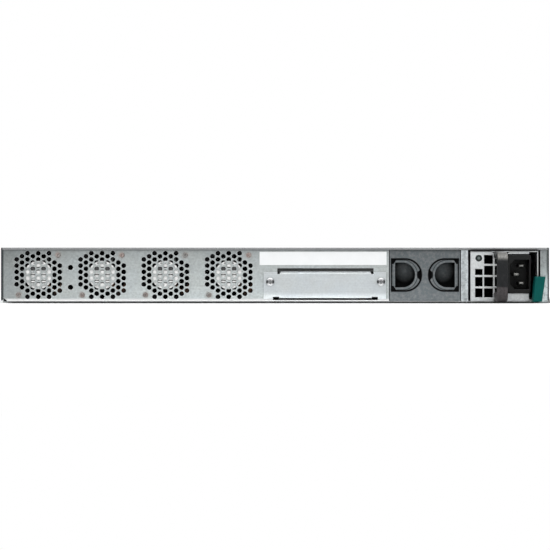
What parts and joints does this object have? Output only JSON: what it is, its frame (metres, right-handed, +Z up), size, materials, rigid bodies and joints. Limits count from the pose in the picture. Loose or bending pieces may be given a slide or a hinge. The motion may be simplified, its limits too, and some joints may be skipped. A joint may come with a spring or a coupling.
{
  "type": "rackmount network switch",
  "caption": "Rack-mounted network switch with fans, a pull-out power supply with latch and handle, a bay filler, an expansion slot cover and a port side with rack ears.",
  "frame": {"origin": "middle of the underside of the case", "axes": "+Z up, X along the rack's width, +Y towards the port side and its rack ears; the fan and power side faces -Y"},
  "size_m": [0.4826, 0.4558, 0.044],
  "materials": {
    "zinc_steel": "satin",
    "cover_steel": "satin",
    "cover_plate_steel": "satin",
    "front_paint": "satin",
    "ear_paint": "satin",
    "screw_steel": "satin",
    "rivet_copper": "satin",
    "black_plastic": "matte",
    "rotor_plastic": "matte",
    "sticker_paper": "matte",
    "brass_insert": "satin",
    "blank_plastic": "matte",
    "handle_plastic": "satin",
    "inlet_plastic": "satin",
    "pin_metal": "polished",
    "led_lens": "gloss",
    "latch_plastic": "satin",
    "board_green": "satin",
    "ferrite": "matte",
    "capacitor_can": "satin",
    "heatsink_aluminium": "satin",
    "bus_copper": "satin",
    "chip_plastic": "matte",
    "lead_rubber": "matte",
    "jack_plastic": "satin",
    "cage_metal": "polished",
    "button_plastic": "satin"
  },
  "bodies": {
    "chassis": {"chassis_pan": "zinc_steel", "bay_partition": "zinc_steel", "bay_flange": "zinc_steel", "top_cover": "cover_steel", "expansion_cover": "cover_plate_steel", "front_panel": "front_paint", "rack_ear_left": "ear_paint", "rack_ear_right": "ear_paint", "cover_screws": "screw_steel", "expansion_screws": "screw_steel", "board_screws": "screw_steel", "ear_screws": "screw_steel", "fan_screws": "rivet_copper", "fan_frame_1": "black_plastic", "fan_frame_2": "black_plastic", "fan_frame_3": "black_plastic", "fan_frame_4": "black_plastic", "fan_headers": "black_plastic", "button_switch": "black_plastic", "power_sockets": "black_plastic", "fan_hub_labels": "sticker_paper", "blank_label": "sticker_paper", "ground_nuts": "brass_insert", "board_standoffs": "brass_insert", "status_lenses": "led_lens", "main_board": "board_green", "power_backplane": "board_green", "power_coils": "ferrite", "board_capacitors": "capacitor_can", "switch_heatsink": "heatsink_aluminium", "cpu_heatsink": "heatsink_aluminium", "bus_bars": "bus_copper", "processor_chips": "chip_plastic", "board_chips": "chip_plastic", "fan_leads": "lead_rubber", "rj45_block_1": "jack_plastic", "rj45_block_2": "jack_plastic", "console_port": "jack_plastic", "sfp_cages": "cage_metal"},
    "psu_module": {"psu_case": "zinc_steel", "psu_lid": "zinc_steel", "psu_faceplate": "zinc_steel", "psu_handle": "handle_plastic", "psu_inlet": "inlet_plastic", "psu_inlet_pins": "pin_metal", "psu_led": "led_lens", "psu_latch_pin": "pin_metal", "psu_fan_frame": "black_plastic", "psu_board": "board_green", "psu_transformer": "ferrite", "psu_capacitors": "capacitor_can", "psu_heatsink": "heatsink_aluminium"},
    "psu_latch": {"psu_latch": "latch_plastic"},
    "psu_fan_rotor": {"psu_fan_rotor": "rotor_plastic"},
    "psu_blank": {"psu_blank": "blank_plastic"},
    "mode_button": {"mode_button": "button_plastic"},
    "fan_rotor_1": {"fan_rotor_1": "rotor_plastic"},
    "fan_rotor_2": {"fan_rotor_2": "rotor_plastic"},
    "fan_rotor_3": {"fan_rotor_3": "rotor_plastic"},
    "fan_rotor_4": {"fan_rotor_4": "rotor_plastic"}
  },
  "joints": [
    {"name": "fan_1_spin", "type": "hinge", "parent": "chassis", "child": "fan_rotor_1", "pos_m": [-0.1901, -0.2, 0.022], "axis": [0, 1, 0], "continuous": true},
    {"name": "fan_2_spin", "type": "hinge", "parent": "chassis", "child": "fan_rotor_2", "pos_m": [-0.1388, -0.2, 0.022], "axis": [0, 1, 0], "continuous": true},
    {"name": "fan_3_spin", "type": "hinge", "parent": "chassis", "child": "fan_rotor_3", "pos_m": [-0.088, -0.2, 0.022], "axis": [0, 1, 0], "continuous": true},
    {"name": "fan_4_spin", "type": "hinge", "parent": "chassis", "child": "fan_rotor_4", "pos_m": [-0.0371, -0.2, 0.022], "axis": [0, 1, 0], "continuous": true},
    {"name": "psu_slide", "type": "slide", "parent": "chassis", "child": "psu_module", "axis": [0, -1, 0], "range_m": [0, 0.235]},
    {"name": "psu_latch_press", "type": "hinge", "parent": "psu_module", "child": "psu_latch", "pos_m": [0.2082, -0.158, 0.0105], "axis": [0, 0, -1], "range_deg": [0, 2.2], "stiffness_Nm_per_rad": 0.5},
    {"name": "psu_fan_spin", "type": "hinge", "parent": "psu_module", "child": "psu_fan_rotor", "pos_m": [0.18, -0.136, 0.0213], "axis": [0, 1, 0], "continuous": true},
    {"name": "psu_blank_slide", "type": "slide", "parent": "chassis", "child": "psu_blank", "axis": [0, -1, 0], "range_m": [0, 0.045]},
    {"name": "mode_button_press", "type": "slide", "parent": "chassis", "child": "mode_button", "axis": [0, -1, 0], "range_m": [0, 0.0012], "stiffness_N_per_m": 400}
  ]
}
